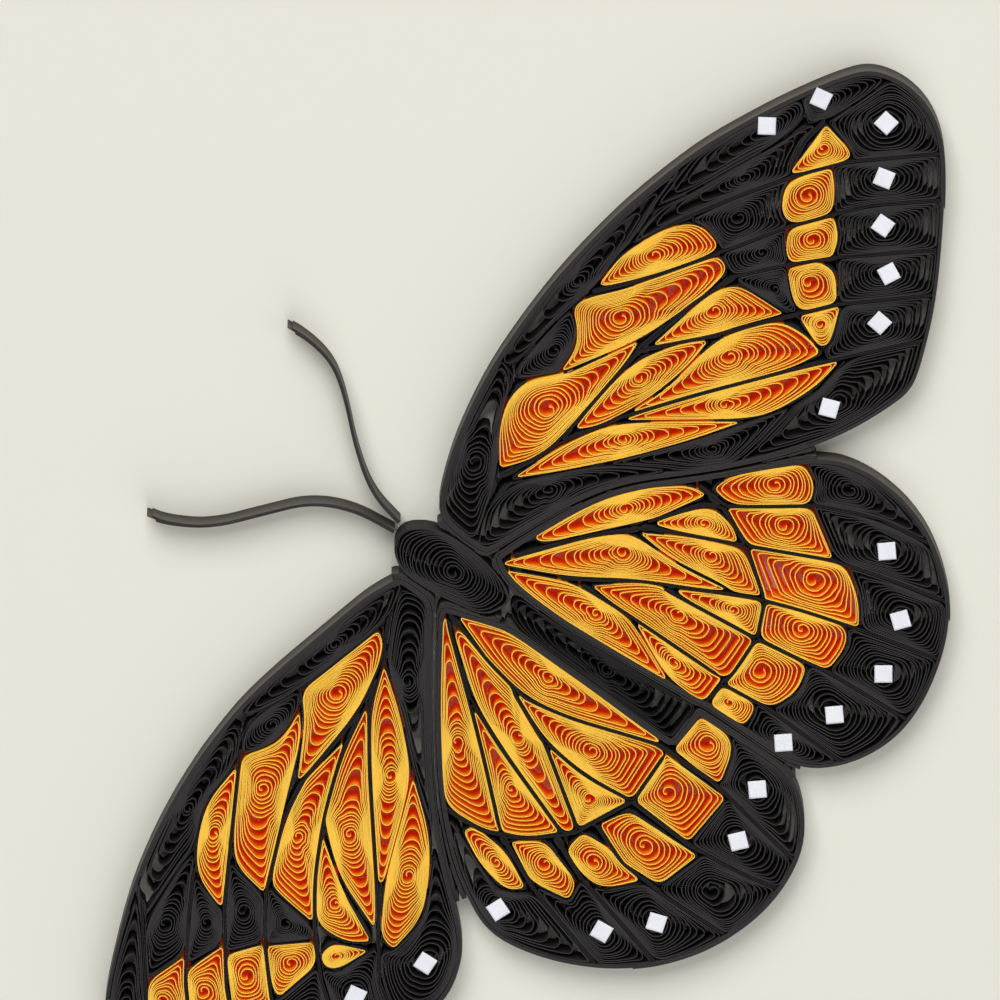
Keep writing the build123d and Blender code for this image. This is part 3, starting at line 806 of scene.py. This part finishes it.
# %% Curl the antennae
ANTENNA_PAPER = 0.1 * MM
ANTENNA_PITCH = 0.117 * MM
FREE_END_SPLAY = 0.05 * MM
FOOT_SPLAY = 0.03 * MM
ANTENNA_WAVER = 0.16 * MM
ANTENNA_POINTS = 0.25 * MM
ANTENNA_STRIPS = ((-1, 0.985), (0, 1.0), (1, 0.965))


def middle_of(node):
    """The middle line of a long narrow node, from its ends and both its sides."""
    loop = max(top_loops(node), key=area_of)
    sides = np.hypot(*(np.roll(loop, -1, axis=0) - loop).T)
    loop = np.roll(loop, -int(np.argmin(sides)) - 1, axis=0)
    half = len(loop) // 2
    line = 0.5 * (loop[:half] + loop[::-1][:half])
    if np.hypot(*line[0]) > np.hypot(*line[-1]):
        line = line[::-1]
    for _ in range(3):
        quarter = line[:-1] * 0.75 + line[1:] * 0.25
        three = line[:-1] * 0.25 + line[1:] * 0.75
        line = np.vstack([line[:1], np.stack([quarter, three], axis=1).reshape(-1, 2), line[-1:]])
    return evenly(line, ANTENNA_POINTS)


def antenna(node):
    """Stands the strips of one antenna."""
    line = middle_of(node)
    along = np.gradient(line, axis=0)
    left = np.stack([-along[:, 1], along[:, 0]], axis=1) / np.hypot(*along.T)[:, None]
    share = np.linspace(0, 1, len(line))
    mesh = bmesh.new()
    pitch = ANTENNA_PITCH + FREE_END_SPLAY * share ** 8 + FOOT_SPLAY * (1 - share) ** 14
    for number, length in ANTENNA_STRIPS:
        path = (line + left * (number * pitch)[:, None])[:int(length * len(line))]
        stand_up(mesh, path, ANTENNA_WAVER, 2.0 * number)
    return finished(node + "_strips", node, mesh, ANTENNA_PAPER, EDGE_BLACK_PAINTED_LIT)


antennae = [antenna("antenna_left"), antenna("antenna_right")]
print("antennae", [piece.name for piece in antennae])

# %% [markdown]
# ## The white squares
# The white spots are squares snipped from a strip of stout white paper and laid
# flat on the finished coils with a dab of glue. The cut pulls the corners of each
# one up by a hair.

# %% Lay the white squares
SQUARE_PAPER = 0.12 * MM
SIDE_TO_DIAGONAL = 0.707
TRIMMED = 0.94
CORNER_LIFT = 0.05 * MM
SQUARE_STEPS = 8


def squares(node):
    """Lays the squares of one wing."""
    mesh = bmesh.new()
    for number, loop in enumerate(top_loops(node)):
        centre = loop.mean(axis=0)
        first = loop[0] - centre
        reach = hypot(*first)
        turn = Matrix.Rotation(atan2(first[1], first[0]) - 0.25 * pi, 4, "Z")
        where = Matrix.Translation((*centre, STRIP_HEIGHT + 0.5 * SQUARE_PAPER))
        grid = bmesh.ops.create_grid(mesh, x_segments=SQUARE_STEPS, y_segments=SQUARE_STEPS,
                                     size=reach * SIDE_TO_DIAGONAL * TRIMMED)
        for vert in grid["verts"]:
            out = hypot(vert.co.x, vert.co.y) / reach
            uneven = 0.6 + 0.4 * sin(number + 3 * atan2(vert.co.y, vert.co.x))
            vert.co.z = CORNER_LIFT * out ** 3 * uneven
        bmesh.ops.transform(mesh, matrix=where @ turn, verts=grid["verts"])
    for face in mesh.faces:
        face.smooth = True
    return finished(node + "_paper", node, mesh, SQUARE_PAPER, WHITE)


spots = [squares(node) for node in NODES if node.endswith("white_squares")]
print("squares in", [spot.name for spot in spots])

# %% [markdown]
# ## The floor
# The butterfly lies on a plain cream sheet, so far across that no view sees its
# edge. The sheet is a hair lower than the feet of the strips, which keeps two
# surfaces from sharing one height.

# %% A plain cream floor
FLOOR_SIZE = 12.0
FLOOR_DROP = 0.02 * MM
bpy.ops.mesh.primitive_plane_add(size=FLOOR_SIZE, location=(0, 0, -FLOOR_DROP))
floor = bpy.context.object
floor.name = "floor"
cream = bpy.data.materials.new("cream floor")
cream.use_nodes = True
matt = cream.node_tree.nodes["Principled BSDF"]
matt.inputs["Base Color"].default_value = linear(236, 233, 221)
matt.inputs["Roughness"].default_value = 0.9
floor.data.materials.append(cream)

# %% [markdown]
# ## The light
# A broad lamp leans over the upper edge of the sheet like a window, and a larger
# one faces it like a pale wall. Both shine in at a slant and very little light
# comes from straight above, so the deep gaps between the turns stay dark. The
# camera doesn't see the lamps. Past the floor it sees a pale room.

# %% A window and a pale wall
LAMP_DISTANCE = 3.9
TARGET = Vector((*place(*SHEET_CENTRE), STRIP_HEIGHT))


def aim(thing, target):
    """Turns a lamp or a camera towards a point."""
    thing.rotation_euler = (target - thing.location).to_track_quat("-Z", "Y").to_euler()


def lamp(name, direction, size, power):
    """A square soft lamp that looks at the butterfly."""
    light = bpy.data.lights.new(name, "AREA")
    light.shape = "SQUARE"
    light.size = size
    light.energy = power
    holder = bpy.data.objects.new(name, light)
    bpy.context.scene.collection.objects.link(holder)
    holder.visible_camera = False
    holder.location = TARGET + direction.normalized() * LAMP_DISTANCE
    aim(holder, TARGET)
    return holder


from_above = -0.25 * SHEET_RIGHT + 1.05 * SHEET_UP + 1.15 * STRAIGHT_UP
from_below = 0.55 * SHEET_RIGHT - 0.65 * SHEET_UP + 1.0 * STRAIGHT_UP
lamps = [lamp("window", from_above, size=2.7, power=122.0),
         lamp("pale wall", from_below, size=6.0, power=119.0)]
world = bpy.data.worlds.new("room")
world.use_nodes = True
root = Value(world.node_tree, None)
warm_white = (1.0, 0.985, 0.96, 1.0)
dim = root.node("ShaderNodeBackground", {}, {"Color": warm_white, "Strength": 0.1})
pale = root.node("ShaderNodeBackground", {}, {"Color": linear(231, 228, 215)})
seen = root.node("ShaderNodeLightPath", {}, {}, "Is Camera Ray")
room = root.node("ShaderNodeMixShader", {}, {0: seen, 1: dim, 2: pale})
room.feed(world.node_tree.nodes["World Output"], "Surface")
bpy.context.scene.world = world
bpy.context.scene.view_settings.view_transform = "Standard"
print("lamps", [holder.name for holder in lamps])

# %% [markdown]
# ## The camera
# The camera looks straight at the leaning sheet. It stands far off and has a long
# lens that shows a tenth of a metre, so the near and the far wing keep one scale.

# %% The camera
DISTANCE = 3.0
SENSOR_WIDTH = 36.0
PICTURE_WIDTH = 0.1
lens = bpy.data.cameras.new("camera")
camera = bpy.data.objects.new("camera", lens)
bpy.context.scene.collection.objects.link(camera)
view = SHEET_UP * sin(SHEET_LEAN) + STRAIGHT_UP * cos(SHEET_LEAN)
camera.location = TARGET + view * DISTANCE
upright = SHEET_UP * cos(SHEET_LEAN) - STRAIGHT_UP * sin(SHEET_LEAN)
camera.rotation_euler = Matrix((SHEET_RIGHT, upright, view)).transposed().to_euler()
lens.sensor_width = SENSOR_WIDTH
lens.lens = SENSOR_WIDTH * DISTANCE / PICTURE_WIDTH
lens.clip_start = 0.05
lens.clip_end = 100.0
bpy.context.scene.camera = camera
print("camera", camera.location, "lens", lens.lens)
